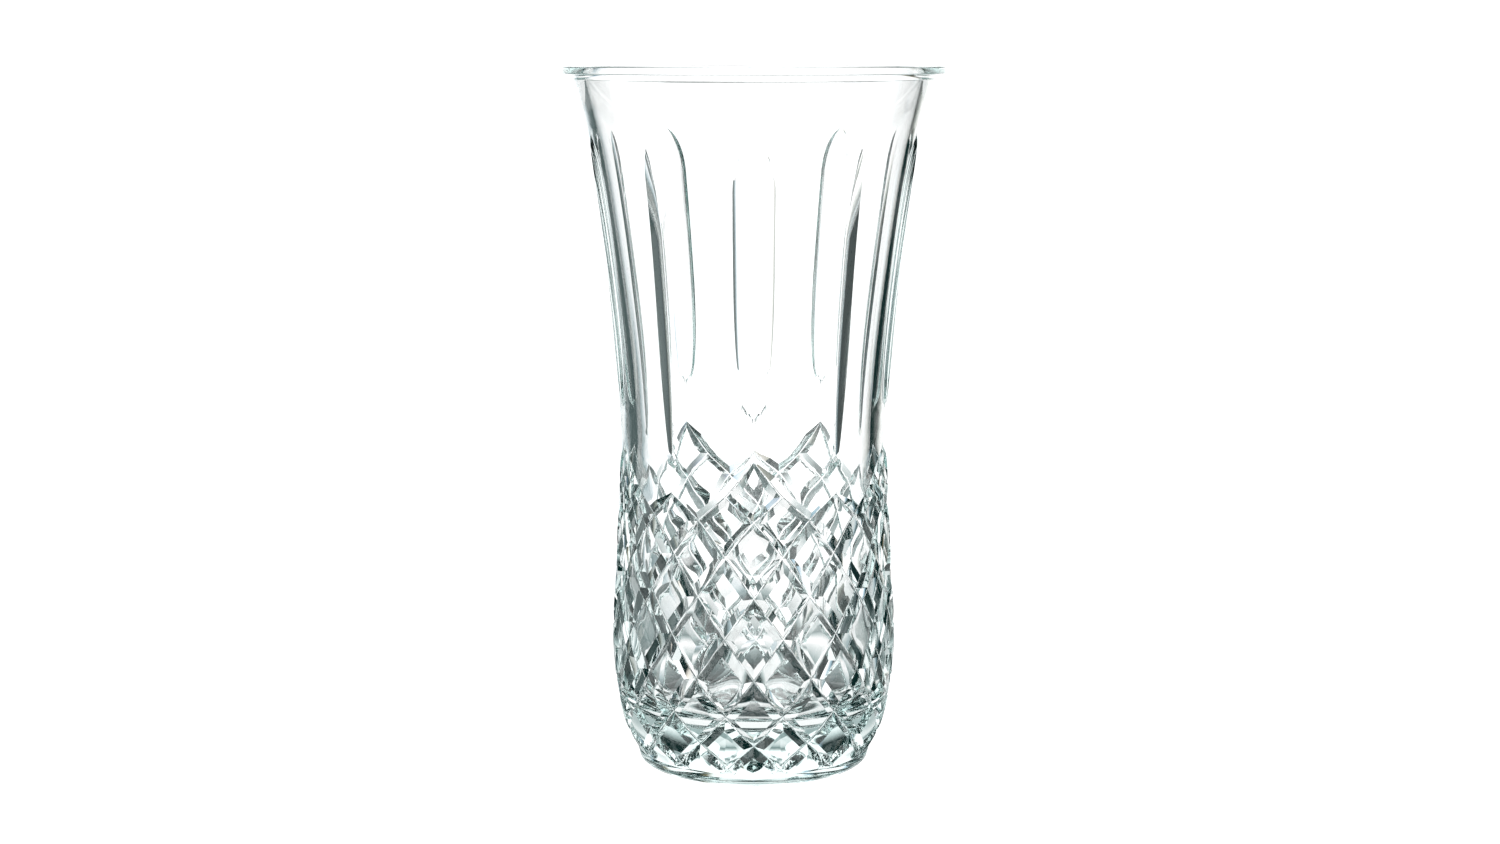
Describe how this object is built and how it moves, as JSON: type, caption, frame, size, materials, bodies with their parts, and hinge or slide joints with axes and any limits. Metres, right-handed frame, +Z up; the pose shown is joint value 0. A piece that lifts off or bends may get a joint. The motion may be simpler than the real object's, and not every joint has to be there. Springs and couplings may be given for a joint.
{
  "type": "flower vase",
  "caption": "Tall flared vase of clear cut crystal: diamond V-groove cutting round the lower body, shallow upright flutes above, smooth foot band, thick base and open rim.",
  "frame": {"origin": "centre of the circle on which the foot ring rests, in the resting plane", "axes": "+Z up along the vase's axis to the open rim; -Y is the front, where one tall peak of the diamond cutting and one high flute are centred; +X to the right"},
  "size_m": [0.1616, 0.1616, 0.3],
  "materials": {
    "crystal": "polished clear lead crystal"
  },
  "bodies": {
    "root": {"vase": "crystal"}
  },
  "joints": []
}
